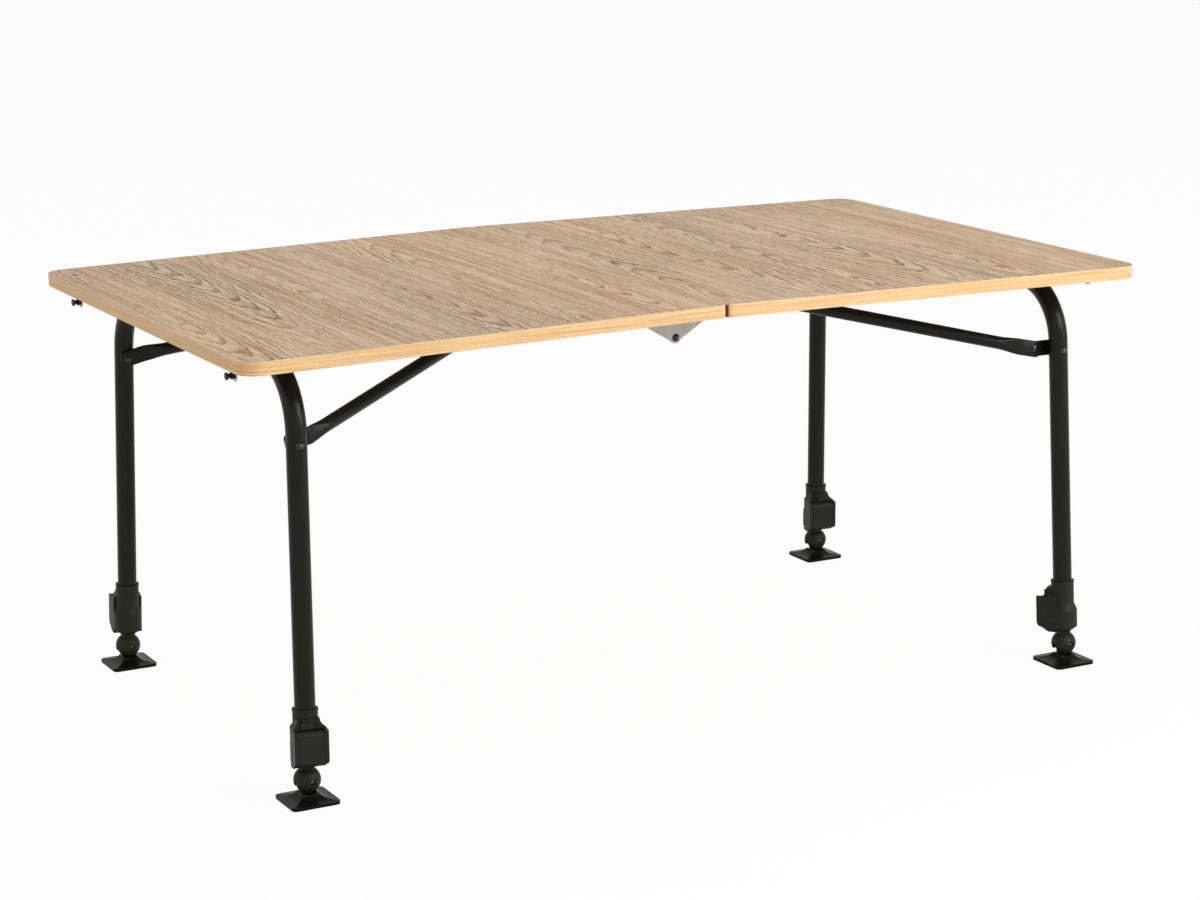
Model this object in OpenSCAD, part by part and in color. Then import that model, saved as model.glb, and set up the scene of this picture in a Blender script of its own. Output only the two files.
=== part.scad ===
// Folding camping table: two board halves hinged at the middle, a U-shaped tube
// frame with two adjustable feet under each half, and a V-shaped stay to each frame.
// X runs along the length, Y along the width, Z up. The floor is Z = 0.
// Each half is drawn for the right side, with X outward from the split and Z = 0 at
// the top surface, then turned by the crown and mirrored for the left side.

/* [Table top] */
// Length over both halves
top_length = 1400; // [1200:10:1600]
// Width of the top
top_width = 800; // [760:10:900]
// Height of the top surface at the split
top_height = 612.5; // [560:2.5:680]
// Thickness of the boards
board_t = 18; // [15:0.5:25]
// Thickness of the edge band
band_t = 1.5; // [1:0.5:3]
// Radius of the outer corners
corner_r = 30; // [15:1:45]
// Radius of the corners at the split
split_r = 9; // [5:1:14]
// Gap between the halves at the top surface
split_gap = 0.8; // [0.6:0.1:2]
// Angle by which each half falls away from the split
crown = 0.7; // [0:0.1:1]

/* [Leg frames] */
// Outer diameter of the leg tube
tube_d = 28; // [25:0.5:30]
// Wall of the leg tube
tube_wall = 1.5; // [1.2:0.1:2]
// Distance of the crossbar axis from the outer end of the top
bar_inset = 96.6; // [80:0.5:140]
// Gap between the crossbar and the underside
bar_seat = 0.5; // [0.3:0.1:1]
// Centre line radius of the bends
bend_r = 87; // [70:1:100]
// Outward lean of the leg frames from the vertical
leg_lean = 1.15; // [0:0.05:2]
// Spread of the legs within their frame
leg_spread = 2.4; // [1:0.1:3]
// Distance of each foot pivot inside the long edges
foot_inset = 49; // [40:1:60]

/* [Stays] */
// Diameter of the stay tubes
stay_d = 19; // [16:0.5:22]
// Thickness of the flattened stay ends
flat_t = 3.4; // [2.4:0.2:4]
// Half width of the flattened stay ends
flat_r = 12; // [10.5:0.5:13]
// Reach of the flattened ends beyond their holes
flat_tip = 9.5; // [9:0.5:11]
// Distance of the leg rivet below the crossbar axis
stay_drop = 95.6; // [90:0.5:120]
// Length of a stay from rivet to rod, seen from the side
stay_len = 451; // [420:1:460]
// Distance of the rod axis below the underside
rod_drop = 14.3; // [12:0.1:18]
// Diameter of the cross rod
rod_d = 10; // [8:0.5:12]
// Distance of the inner stay ends from the centre line
rod_end_y = 97; // [80:1:120]
// Length of the links on the right frame, from rivet to rivet
link_len = 29.3; // [28:0.1:34]
// Thickness of the links
link_t = 3; // [2:0.5:4]
// Diameter of the rivets
rivet_d = 6; // [5:0.5:7]

/* [Foot adjusters] */
// Height of the foot pivots above the floor
pivot_h = 30; // [29:0.5:34]
// Radius of the foot knuckles
ball_r = 18.3; // [16:0.1:19]
// Diameter of the inner tubes
inner_d = 22; // [20:0.5:23]
// Wall of the inner tubes
inner_wall = 1.5; // [1:0.1:2]
// How far each foot can be drawn out
foot_travel = 150; // [100:5:180]
// Length of inner tube that stays in the leg when a foot is drawn out
tube_overlap = 60; // [40:5:80]
// Width of the square foot pads
pad_w = 68; // [60:1:74]
// Thickness of the pad rims
pad_rim = 4.5; // [3:0.5:6]
// Radius of the pad corners
pad_corner = 7; // [4:0.5:10]
// Height of the housings' lower end above the foot pivot
shell_s0 = 20; // [19.5:0.1:21]
// Height of the housings' upper end above the foot pivot
shell_s1 = 97; // [92:1:110]
// Wall of the housing collars around the leg tube
collar_wall = 2.9; // [2:0.1:4]
// Radius of the wider lower part of the housings
bulge_r = 21; // [18:0.5:22]
// Distance of the clamp face from the leg axis
clamp_x = 32.4; // [31:0.2:34]
// Width of the clamp boxes
clamp_w = 46; // [42:0.5:50]
// Thickness of the cheeks beside the lever
cheek_t = 5; // [4:0.5:7]
// Thickness of the clamp lever
lever_t = 7; // [6:0.5:8]

/* [Top hinges] */
// Distance of each hinge from the long edges
hinge_in = 147; // [120:1:180]
// Distance of the hinge pivot below the top surface
hinge_drop = 69.5; // [60:0.5:75]
// Thickness of the hinge plates
plate_t = 2.5; // [2:0.1:3]
// Length of the hinge plates from the split
plate_len = 98; // [80:1:120]
// Radius of the hinge plates around their pivot
boss_r = 8.2; // [8:0.1:9]
// Diameter of the hinge rivets
hinge_pin_d = 7; // [5:0.5:8]

/* [Closing pegs] */
// Distance of the pegs from the long edges, front and rear
peg_in_front = 65; // [50:1:120]
peg_in_rear = 129; // [50:1:160]
// Distance of the right tabs from the long edges, front and rear
tab_in_front = 109; // [50:1:140]
tab_in_rear = 85; // [50:1:140]
// Width of the tabs
tab_w = 16; // [12:1:20]
// How far the left tabs drop below the underside
tab_drop = 17; // [15:0.5:22]
// How far the right tabs drop below the underside
tab_drop_right = 25; // [15:0.5:30]

/* [Hidden] */

// Sides of the table: LEFT and RIGHT along X, FRONT and REAR along Y
LEFT = -1;
RIGHT = 1;
FRONT = -1;
REAR = 1;

// Clearances: between turning faces, between fitted faces, between moving flat faces
pin_gap = 0.05;
fit_gap = 0.1;
side_gap = 0.3;

// Smoothness of round shapes
$fn = 48;

half_len = top_length / 2;
foot_y = top_width / 2 - foot_inset;
underside = -board_t;
tube_r = tube_d / 2;
inner_r = inner_d / 2;
rivet_r = rivet_d / 2;
rod_r = rod_d / 2;

// Leg frames: crossbar in the half's own frame and in the table's frame
bar_x = half_len - bar_inset;
bar_z = underside - tube_r - bar_seat;
bar_height = top_height - bar_x * sin(crown) + bar_z * cos(crown);
frame_tilt = leg_lean + crown;
leg_drop = (bar_height - pivot_h) / cos(leg_lean);
foot_x = bar_x * cos(crown) + bar_z * sin(crown) + leg_drop * sin(leg_lean);
// Half length of the straight stretch of the crossbar
bar_half = (cos(leg_spread) * foot_y - sin(leg_spread) * leg_drop
    - bend_r * (1 - sin(leg_spread))) / cos(leg_spread);
bend_end_y = bar_half + bend_r * cos(leg_spread);
bend_end_z = -bend_r * (1 - sin(leg_spread));
leg_full = (leg_drop + bend_end_z) / cos(leg_spread);
bend_swell = 0.04;

// Stays, in the half's own frame
leg_rivet_x = bar_x + stay_drop * sin(frame_tilt);
leg_rivet_z = bar_z - stay_drop * cos(frame_tilt);
leg_rivet_y = foot_y - (leg_drop - stay_drop) * tan(leg_spread);
leg_face_y = leg_rivet_y - tube_r / cos(leg_spread) - flat_r * tan(leg_spread);
rod_z = underside - rod_drop;
stay_angle = asin((rod_z - leg_rivet_z) / stay_len);
// Seat in the leg's outer side for the head of the leg rivet
seat_depth = 1;
leg_seat_y = leg_rivet_y + tube_r / cos(leg_spread) - seat_depth;
leg_head_r = 5.6;
stay_run = stay_len * cos(stay_angle);
stay_y_left = leg_face_y - side_gap - flat_t / 2;
link_head_h = 1.2;
stay_y_right = leg_face_y - 2 * side_gap - link_head_h - flat_t / 2;
link_y = stay_y_right - flat_t / 2 - side_gap - link_t / 2;
rod_x_left = leg_rivet_x - stay_run;
rod_x_right = leg_rivet_x - link_len - stay_run;
rod_head_t = 2;
rod_half = rod_end_y + flat_t / 2 + fit_gap;
catch_w = 70;
catch_front = 12;
catch_back = 20;
catch_floor = 7;
catch_slope = 34;
catch_foot = 22;
catch_foot_t = 4;

// Screws and the parts under their heads
screw_r = 2;
screw_head_r = 4;
screw_head_t = 2.2;
screw_depth = 11;
saddle_y = 175;
saddle_w = 26;
saddle_t = 2.4;
saddle_foot = 14;
flange_w = 24;
flange_inset = 4;

// Feet, along the leg axis from the pivot upward
tube_end_s = shell_s0 + 42;
bulge_top_s = shell_s0 + 32;
cone_top_s = tube_end_s;
neck_s = 15;
inner_len = tube_end_s - neck_s + foot_travel + tube_overlap;
collar_r = tube_r + collar_wall;
clamp_s0 = shell_s0 + 6;
clamp_s1 = shell_s0 + 53;
clamp_arc = 13;
lever_pin_r = 2;
lever_pin_x = clamp_x - lever_t;
lever_pin_s = clamp_s1 - lever_t - 1;
lever_half = clamp_w / 2 - cheek_t - side_gap;
// Which way each clamp face points, from the outward direction, counted from above
face_front_left = -82;
face_rear_left = 100;
face_front_right = 113;
face_rear_right = -99;

// Foot pads: the blade in the knuckle's slot and the pillar under it
blade_r = 12.5;
blade_t = 7.4;
slot_w = blade_t + 2 * side_gap;
cheek_drop_front = 15.5;
cheek_drop_rear = 7.7;
pillar_x = 10;
pillar_y = 9;
knuckle_seat_r = 5;
knuckle_seat = 15.8;

// Top hinges, in the half's own frame
hinge_y = top_width / 2 - hinge_in;
pivot_x = hinge_drop * sin(crown);
pivot_z = -hinge_drop * cos(crown);
plate_gap = 0.3;
hinge_pin_r = hinge_pin_d / 2;

// Closing pegs
tab_t = 2;
tab_x = half_len - 12;
tab_foot = 18;
peg_flange_r = 5;
peg_waist_r = 3.1;
peg_body_r = 4.6;
peg_end = 0.8;

module at_half(side) {
    translate([0, 0, top_height])
        mirror([side < 0 ? 1 : 0, 0, 0])
            rotate([0, crown, 0])
                children();
}

// The leg frame's own plane: origin on the crossbar axis, Z up along the frame
module at_frame(side) {
    at_half(side)
        translate([bar_x, 0, bar_z])
            rotate([0, -frame_tilt, 0])
                children();
}

// One leg: origin at the foot pivot, Z up along the leg axis
module at_leg(side, row) {
    at_frame(side)
        translate([0, row * foot_y, -leg_drop])
            rotate([row * leg_spread, 0, 0])
                children();
}

// One foot on the floor below its pivot
module at_foot(side, row) {
    translate([side * foot_x, row * foot_y, 0])
        children();
}

// Turns a shape drawn along Z so that it lies along Y
module along_y() {
    rotate([90, 0, 0])
        children();
}

module ring(r, wall) {
    difference() {
        circle(r);
        circle(r - wall);
    }
}

// Flat plate with one round end, from x = 0 to x = len, centred on Y
module tongue(len, r, t) {
    translate([0, t / 2, 0])
        along_y()
            linear_extrude(t) {
                circle(r);
                translate([0, -r])
                    square([len, 2 * r]);
            }
}

// Domed rivet head rising from z = 0
module dome(r, h) {
    big = (r * r + h * h) / (2 * h);
    intersection() {
        translate([0, 0, h - big])
            sphere(big);
        cylinder(r = r, h = h);
    }
}

// Rivet along Y from y0 to y1, with a dome at each end
module rivet_y(y0, y1, r, head_r, head_h) {
    rotate([-90, 0, 0]) {
        translate([0, 0, y0 - head_h / 4])
            cylinder(r = r, h = y1 - y0 + head_h / 2);
        translate([0, 0, y1])
            dome(head_r, head_h);
        translate([0, 0, y0])
            rotate([180, 0, 0])
                dome(head_r, head_h);
    }
}

// Outline of one board half, drawn back from its true edge by inset
module half_outline(inset) {
    x0 = split_gap / 2 + inset;
    x1 = half_len - inset;
    y1 = top_width / 2 - inset;
    ri = split_r - inset;
    ro = corner_r - inset;
    translate([x0 + ri, -y1])
        square([x1 - x0 - ri - ro, 2 * y1]);
    translate([x0, -y1 + ri])
        square([ri, 2 * (y1 - ri)]);
    translate([x1 - ro, -y1 + ro])
        square([ro, 2 * (y1 - ro)]);
    for (row = [FRONT, REAR]) {
        translate([x0 + ri, row * (y1 - ri)])
            circle(ri);
        translate([x1 - ro, row * (y1 - ro)])
            circle(ro);
    }
}

// Places of the screws in one half: x, y and the thickness under the head
function screw_spots(side) = concat(
    [for (row = [FRONT, REAR]) for (k = [0, 1, 2])
        [18 + k * (plate_len - 36) / 2,
         row * hinge_y - side * row * (plate_gap / 2 + plate_t + flange_w / 2),
         plate_t]],
    [for (row = [FRONT, REAR]) for (k = [-1, 1])
        [bar_x + k * (tube_r + saddle_t + saddle_foot / 2), row * saddle_y, saddle_t]],
    [for (row = [FRONT, REAR])
        [(side < 0 ? rod_x_left : rod_x_right) + catch_back + catch_foot / 2,
         row * catch_w / 4, catch_foot_t]],
    [for (row = [FRONT, REAR])
        [tab_x - tab_t - tab_foot / 2, row * tab_y(side, row), tab_t]]);

// Distance of a closing tab from the centre line
function tab_y(side, row) = top_width / 2 - (side < 0
    ? (row < 0 ? peg_in_front : peg_in_rear)
    : (row < 0 ? tab_in_front : tab_in_rear));

module screw_holes(side, r) {
    for (p = screw_spots(side))
        translate([p[0], p[1], underside - 30])
            cylinder(r = r, h = 30 + screw_depth, $fn = 24);
}

module board(side) {
    color("#a99072")
        at_half(side)
            difference() {
                translate([0, 0, underside])
                    linear_extrude(board_t)
                        half_outline(band_t);
                screw_holes(side, screw_r + pin_gap);
            }
}

module edge_band(side) {
    color("#d8ad6b")
        at_half(side)
            translate([0, 0, underside])
                linear_extrude(board_t)
                    difference() {
                        half_outline(0);
                        half_outline(band_t);
                    }
}

module board_screws(side) {
    color("#b9bbb8")
        at_half(side)
            for (p = screw_spots(side))
                translate([p[0], p[1], underside - p[2]]) {
                    cylinder(r = screw_r, h = p[2] + screw_depth - 1, $fn = 24);
                    rotate([180, 0, 0])
                        dome(screw_head_r, screw_head_t, $fn = 24);
                }
}

// Triangular web and screwed flange. The left plate lies in front of the right one at
// the front hinge, and behind it at the rear hinge, so both flanges point outward.
module hinge_plate(side, row) {
    reach = norm([plate_len - pivot_x, underside - pivot_z]);
    lean = atan2(underside - pivot_z, plate_len - pivot_x);
    tangent = lean - acos(boss_r / reach);
    web_side = -side * row;
    // The straight edges cut a little into the boss, so that they meet it at an angle
    inner = boss_r - 0.4;
    web_y = row * hinge_y + web_side * (plate_gap / 2 + plate_t / 2);
    color("#a9aaa4")
        at_half(side)
            difference() {
                union() {
                    translate([0, web_y + plate_t / 2, 0])
                        along_y()
                            linear_extrude(plate_t) {
                                translate([pivot_x, pivot_z])
                                    circle(boss_r);
                                polygon([
                                    [flange_inset, underside],
                                    [plate_len, underside],
                                    [pivot_x + inner * cos(tangent),
                                     pivot_z + inner * sin(tangent)],
                                    [pivot_x, pivot_z],
                                    [pivot_x - inner, pivot_z]]);
                            }
                    translate([flange_inset,
                        web_side > 0 ? web_y - plate_t / 2 : web_y + plate_t / 2 - plate_t - flange_w,
                        underside - plate_t])
                        cube([plate_len - flange_inset, flange_w + plate_t, plate_t]);
                }
                translate([pivot_x, web_y + plate_t, pivot_z])
                    along_y()
                        cylinder(r = hinge_pin_r + pin_gap, h = 2 * plate_t);
                screw_holes(side, screw_r + pin_gap);
            }
}

module hinge_rivets() {
    half = plate_gap / 2 + plate_t + fit_gap;
    color("#1d1e1c")
        for (row = [FRONT, REAR])
            translate([0, row * hinge_y, top_height - hinge_drop])
                rivet_y(-half, half, hinge_pin_r, 5.6, 3.4);
}

// Crossbar, two bends and two legs as one solid run. The bends are thicker by grow,
// so that they take in the ends of the straight runs.
module frame_run(r, grow, foot_end) {
    translate([0, bar_half, 0])
        along_y()
            cylinder(r = r, h = 2 * bar_half);
    for (row = [FRONT, REAR]) {
        mirror([0, row < 0 ? 1 : 0, 0])
            translate([0, bar_half, -bend_r])
                rotate([90, 0, 90])
                    rotate_extrude(angle = 92 - leg_spread, start = leg_spread - 1, $fn = 96)
                        translate([bend_r, 0])
                            circle(r + grow);
        translate([0, row * bend_end_y, bend_end_z])
            rotate([row * leg_spread, 0, 0])
                translate([0, 0, foot_end - leg_full])
                    cylinder(r = r, h = leg_full - foot_end);
    }
}

// Bent tube, open at the lower ends inside the housings
module leg_frame(side) {
    color("#22231f")
        difference() {
            at_frame(side)
                difference() {
                    frame_run(tube_r, bend_swell, tube_end_s);
                    frame_run(tube_r - tube_wall, -bend_swell, tube_end_s - 1);
                }
            at_half(side)
                for (row = [FRONT, REAR])
                    mirror([0, row < 0 ? 1 : 0, 0])
                        translate([leg_rivet_x, 0, leg_rivet_z])
                            rotate([-90, 0, 0]) {
                                translate([0, 0, leg_rivet_y - tube_d])
                                    cylinder(r = rivet_r + pin_gap, h = 2 * tube_d);
                                translate([0, 0, leg_seat_y])
                                    cylinder(r = leg_head_r + 0.8, h = tube_d);
                            }
        }
}

module saddle_clips(side) {
    r = tube_r + side_gap;
    up = underside - bar_z;
    color("#2a2b28")
        at_half(side)
            for (row = [FRONT, REAR])
                difference() {
                    translate([bar_x, row * saddle_y + saddle_w / 2, bar_z])
                        along_y()
                            linear_extrude(saddle_w) {
                                difference() {
                                    union() {
                                        circle(r + saddle_t);
                                        translate([-r - saddle_t, 0])
                                            square([2 * (r + saddle_t), up]);
                                        translate([-r - saddle_t - saddle_foot, up - saddle_t])
                                            square([2 * (r + saddle_t + saddle_foot), saddle_t]);
                                    }
                                    circle(r);
                                    translate([-r, 0])
                                        square([2 * r, up + 1]);
                                    translate([-r - saddle_t, up])
                                        square([2 * (r + saddle_t), tube_d]);
                                }
                            }
                    screw_holes(side, screw_r + pin_gap);
                }
}

// Flat stay end with rounded corners, that narrows to the tube's own height where the
// tube begins
module flat_end(len) {
    tip_r = flat_r / 2;
    translate([0, flat_t / 2, 0])
        along_y()
            linear_extrude(flat_t) {
                for (k = [-1, 1])
                    translate([tip_r - flat_tip, k * (flat_r - tip_r)])
                        circle(tip_r);
                translate([-flat_tip, tip_r - flat_r])
                    square([flat_tip + 1, 2 * (flat_r - tip_r)]);
                translate([tip_r - flat_tip, -flat_r])
                    square([flat_tip - tip_r + 1, 2 * flat_r]);
                polygon([
                    [0, -flat_r],
                    [len - 9, -flat_r],
                    [len, 0.4 - stay_d / 2],
                    [len, stay_d / 2 - 0.4],
                    [len - 9, flat_r],
                    [0, flat_r]]);
            }
}

// Tube with both ends pressed flat in upright planes. It starts at the origin and
// runs along X in side view while it moves from y0 to y1.
module stay_tube(y0, y1) {
    bend0 = flat_r + 14;
    bend1 = stay_len - flat_r - 10;
    swing = atan2(y1 - y0, bend1 - bend0);
    full = norm([bend1 - bend0, y1 - y0]);
    taper = 24;
    wide = stay_d / 2 + 1;
    difference() {
        union() {
            translate([0, y0, 0])
                flat_end(bend0 + 1);
            translate([stay_len, y1, 0])
                rotate([0, 180, 0])
                    flat_end(stay_len - bend1 + 1);
            translate([bend0, y0, 0])
                rotate([0, 0, swing])
                    intersection() {
                        rotate([0, 90, 0])
                            cylinder(d = stay_d, h = full);
                        translate([0, 0, -stay_d])
                            linear_extrude(2 * stay_d)
                                polygon([
                                    [0, -flat_t / 2],
                                    [taper, -wide],
                                    [full - taper, -wide],
                                    [full, -flat_t / 2],
                                    [full, flat_t / 2],
                                    [full - taper, wide],
                                    [taper, wide],
                                    [0, flat_t / 2]]);
                    }
        }
        translate([0, y0 + flat_t, 0])
            along_y()
                cylinder(r = rivet_r + pin_gap, h = 2 * flat_t);
        translate([stay_len, y1 + flat_t, 0])
            along_y()
                cylinder(r = rod_r + pin_gap, h = 2 * flat_t);
    }
}

module stay(side, row) {
    x = side < 0 ? leg_rivet_x : leg_rivet_x - link_len;
    color("#22231f")
        at_half(side)
            mirror([0, row < 0 ? 1 : 0, 0])
                translate([x, 0, leg_rivet_z])
                    rotate([0, 180 + stay_angle, 0])
                        stay_tube(side < 0 ? stay_y_left : stay_y_right, rod_end_y);
}

module stay_rod(side) {
    color("#8f918d")
        at_half(side)
            translate([side < 0 ? rod_x_left : rod_x_right, 0, rod_z])
                rivet_y(-rod_half, rod_half, rod_r, rod_r + 2, rod_head_t);
}

// Hook under the board: the stay's pull draws the rod outward into the slot, and the
// sloping lip lets it leave toward the split.
module rod_catch(side) {
    x = side < 0 ? rod_x_left : rod_x_right;
    up = underside - rod_z;
    r = rod_r + side_gap;
    depth = r + catch_floor;
    lip = r / cos(catch_slope);
    color("#1d1e1c")
        at_half(side)
            difference() {
                translate([x, catch_w / 2, rod_z])
                    along_y()
                        linear_extrude(catch_w)
                            difference() {
                                union() {
                                    polygon([
                                        [-catch_front, up],
                                        [-catch_front, up - 3],
                                        [-4, -depth],
                                        [catch_back - 6, -depth],
                                        [catch_back, 6 - depth],
                                        [catch_back, up]]);
                                    translate([catch_back - 1, up - catch_foot_t])
                                        square([catch_foot + 1, catch_foot_t]);
                                }
                                circle(r);
                                polygon([
                                    [0, r],
                                    [-60, r],
                                    [-60, -lip - 60 * tan(catch_slope)],
                                    [-r * sin(catch_slope), -r * cos(catch_slope)],
                                    [0, 0]]);
                            }
                screw_holes(side, screw_r + pin_gap);
            }
}

// Leg rivets, with a spacer beside the link on the right frame
module leg_rivets(side) {
    inner = side < 0 ? stay_y_left - flat_t / 2 : link_y - link_t / 2;
    spacer = side < 0 ? 0 : leg_face_y - link_y - link_t / 2 - 2 * pin_gap;
    color("#2c2d2a")
        at_half(side)
            for (row = [FRONT, REAR])
                mirror([0, row < 0 ? 1 : 0, 0])
                    translate([leg_rivet_x, 0, leg_rivet_z])
                        rotate([-90, 0, 0]) {
                            translate([0, 0, inner - fit_gap - 0.5])
                                cylinder(r = rivet_r, h = leg_seat_y - inner + 2 * fit_gap + 1);
                            translate([0, 0, leg_seat_y + fit_gap])
                                dome(leg_head_r, 3.2);
                            translate([0, 0, inner - fit_gap])
                                rotate([180, 0, 0])
                                    dome(4.8, 1.8);
                            if (spacer > 0)
                                translate([0, 0, link_y + link_t / 2 + pin_gap])
                                    cylinder(r = rivet_r + 2.5, h = spacer);
                        }
}

module link(row) {
    color("#22231f")
        at_half(RIGHT)
            mirror([0, row < 0 ? 1 : 0, 0])
                translate([leg_rivet_x, link_y, leg_rivet_z])
                    difference() {
                        union() {
                            rotate([0, 180, 0])
                                tongue(link_len, flat_r - 0.6, link_t);
                            translate([-link_len, 0, 0])
                                tongue(link_len, flat_r - 0.6, link_t);
                        }
                        for (x = [0, -link_len])
                            translate([x, link_t, 0])
                                along_y()
                                    cylinder(r = rivet_r + pin_gap, h = 2 * link_t);
                    }
}

module link_rivets() {
    color("#2c2d2a")
        at_half(RIGHT)
            for (row = [FRONT, REAR])
                mirror([0, row < 0 ? 1 : 0, 0])
                    translate([leg_rivet_x - link_len, 0, leg_rivet_z])
                        rivet_y(link_y - link_t / 2 - fit_gap,
                            stay_y_right + flat_t / 2 + fit_gap, rivet_r, 5, link_head_h);
}

module tab(y, drop, hole_r) {
    difference() {
        union() {
            translate([tab_x - tab_t, 0, 0])
                rotate([90, 0, 90])
                    linear_extrude(tab_t) {
                        translate([y, underside - drop + tab_w / 2])
                            circle(tab_w / 2);
                        translate([y - tab_w / 2, underside - drop + tab_w / 2])
                            square([tab_w, drop - tab_w / 2]);
                    }
            translate([tab_x - tab_t - tab_foot, y - tab_w / 2, underside - tab_t])
                cube([tab_foot + tab_t, tab_w, tab_t]);
        }
        translate([tab_x - 2 * tab_t, y, underside - drop + tab_w / 2])
            rotate([0, 90, 0])
                cylinder(r = hole_r, h = 3 * tab_t);
    }
}

module peg_tabs() {
    color("#b4b5b1")
        at_half(LEFT)
            difference() {
                for (row = [FRONT, REAR])
                    tab(row * tab_y(LEFT, row), tab_drop, screw_r + pin_gap);
                screw_holes(LEFT, screw_r + pin_gap);
            }
}

module closing_tabs() {
    color("#b4b5b1")
        at_half(RIGHT)
            difference() {
                for (row = [FRONT, REAR])
                    tab(row * tab_y(RIGHT, row), tab_drop_right, peg_waist_r + side_gap);
                screw_holes(RIGHT, screw_r + pin_gap);
            }
}

// Turned pegs on the outer faces of the left tabs
module closing_pegs() {
    reach = half_len - peg_end - tab_x;
    color("#161715")
        at_half(LEFT)
            for (row = [FRONT, REAR])
                translate([tab_x, row * tab_y(LEFT, row), underside - tab_drop + tab_w / 2])
                    rotate([0, 90, 0]) {
                        cylinder(r = peg_body_r, h = reach * 0.4);
                        cylinder(r = peg_waist_r, h = reach);
                        translate([0, 0, reach - 2.2])
                            cylinder(r = peg_flange_r, h = 2.2);
                        translate([0, 0, -tab_t - 1])
                            cylinder(r = screw_r, h = tab_t + 2);
                    }
}

// Side view of the clamp box in X and Z, before the lever's recess. Its top dips to the
// collar in an arc, and its bottom slopes to the neck.
module clamp_profile() {
    r = 8;
    arc_x = clamp_x - 5.5;
    difference() {
        union() {
            polygon([
                [0, shell_s0],
                [inner_r + 2.4, shell_s0],
                [clamp_x - r, clamp_s0],
                [clamp_x - r, clamp_s0 + r],
                [clamp_x, clamp_s0 + r],
                [clamp_x, clamp_s1],
                [arc_x, clamp_s1],
                [arc_x - 6, clamp_s1 + clamp_arc],
                [0, clamp_s1 + clamp_arc]]);
            translate([clamp_x - r, clamp_s0 + r])
                circle(r);
        }
        translate([arc_x + 2, clamp_s1 + clamp_arc])
            circle(clamp_arc);
    }
}

// Front view of the clamp box in Y and Z, with arcs from its top corners to the collar
module clamp_front() {
    top = clamp_s1 + clamp_arc;
    difference() {
        translate([-clamp_w, 0])
            square([2 * clamp_w, top + 1]);
        for (k = [-1, 1]) {
            translate([k * (collar_r + clamp_arc - 1.5), top])
                circle(clamp_arc);
            translate([k * (collar_r + clamp_arc - 1.5) - clamp_arc, top])
                square([2 * clamp_arc, 2]);
        }
    }
}

// The clamp box narrows a little toward the leg, where its sides meet the bulge
module clamp_box() {
    intersection() {
        translate([0, clamp_w, 0])
            along_y()
                linear_extrude(2 * clamp_w)
                    clamp_profile();
        linear_extrude(2 * clamp_s1)
            polygon([
                [0, -bulge_r - 0.3],
                [clamp_x, -clamp_w / 2],
                [clamp_x, clamp_w / 2],
                [0, bulge_r + 0.3]]);
        rotate([90, 0, 90])
            linear_extrude(2 * clamp_x)
                clamp_front();
    }
}

// Plastic housing on the leg end, with its clamp box facing X
module housing_shape() {
    chamfer = 6;
    block_w = 25;
    block_x = clamp_x - 8;
    block_h = 14;
    recess = lever_half + side_gap;
    round_r = clamp_x - lever_pin_x + side_gap;
    difference() {
        union() {
            translate([0, 0, shell_s0])
                cylinder(r1 = inner_r + 1.8, r2 = bulge_r, h = chamfer);
            translate([0, 0, shell_s0 + chamfer])
                cylinder(r = bulge_r, h = bulge_top_s - shell_s0 - chamfer);
            translate([0, 0, bulge_top_s])
                cylinder(r1 = bulge_r, r2 = collar_r, h = cone_top_s - bulge_top_s);
            translate([0, 0, cone_top_s])
                cylinder(r = collar_r, h = shell_s1 - cone_top_s);
            translate([0, 0, shell_s1 - 3])
                cylinder(r = collar_r + 0.6, h = 3);
            clamp_box();
            translate([0, -block_w / 2, clamp_s1 - 1])
                cube([block_x, block_w, block_h - 4]);
            translate([0, -block_w / 2 + 3, clamp_s1])
                cube([block_x - 3, block_w - 6, block_h - 1]);
            translate([0, 0, clamp_s1 + block_h - 4])
                rotate([0, 90, 0])
                    cylinder(r = 3.5, h = block_x - 2.2, $fn = 32);
        }
        translate([0, 0, shell_s0 - 1])
            cylinder(r = inner_r + side_gap, h = tube_end_s - shell_s0 + 2);
        translate([0, 0, tube_end_s])
            cylinder(r = tube_r + fit_gap, h = shell_s1);
        // Recess for the lever and its rounded top
        translate([clamp_x - lever_t - side_gap, -recess, 0])
            cube([clamp_x, 2 * recess, clamp_s1 + 1]);
        translate([lever_pin_x, recess, lever_pin_s])
            along_y()
                cylinder(r = round_r, h = 2 * recess);
        translate([lever_pin_x - round_r, -recess, lever_pin_s])
            cube([round_r + 2, 2 * recess, clamp_s1 - lever_pin_s + 1]);
        // Slot in the block above the lever
        translate([block_x - 5, -block_w / 2 - 1, clamp_s1 + 3])
            cube([6, 8, 5]);
        translate([lever_pin_x, clamp_w, lever_pin_s])
            along_y()
                cylinder(r = lever_pin_r + pin_gap, h = 2 * clamp_w, $fn = 24);
    }
}

// Clamp lever: a flap that closes the front of the box
module lever_shape() {
    foot = clamp_s0 + 3;
    difference() {
        union() {
            translate([clamp_x - lever_t, -lever_half, foot])
                cube([lever_t, 2 * lever_half, lever_pin_s - foot]);
            translate([lever_pin_x, lever_half, lever_pin_s])
                along_y()
                    cylinder(r = lever_t, h = 2 * lever_half);
        }
        translate([lever_pin_x, clamp_w, lever_pin_s])
            along_y()
                cylinder(r = lever_pin_r + pin_gap, h = 2 * clamp_w, $fn = 24);
    }
}

function face_angle(side, row) = side < 0
    ? (row < 0 ? face_front_left : face_rear_left)
    : (row < 0 ? face_front_right : face_rear_right);

module housing(side, row) {
    color("#1f201e")
        at_leg(side, row)
            rotate([0, 0, face_angle(side, row)])
                housing_shape();
}

module lever(side, row) {
    color("#242523")
        at_leg(side, row)
            rotate([0, 0, face_angle(side, row)])
                lever_shape();
}

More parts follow.
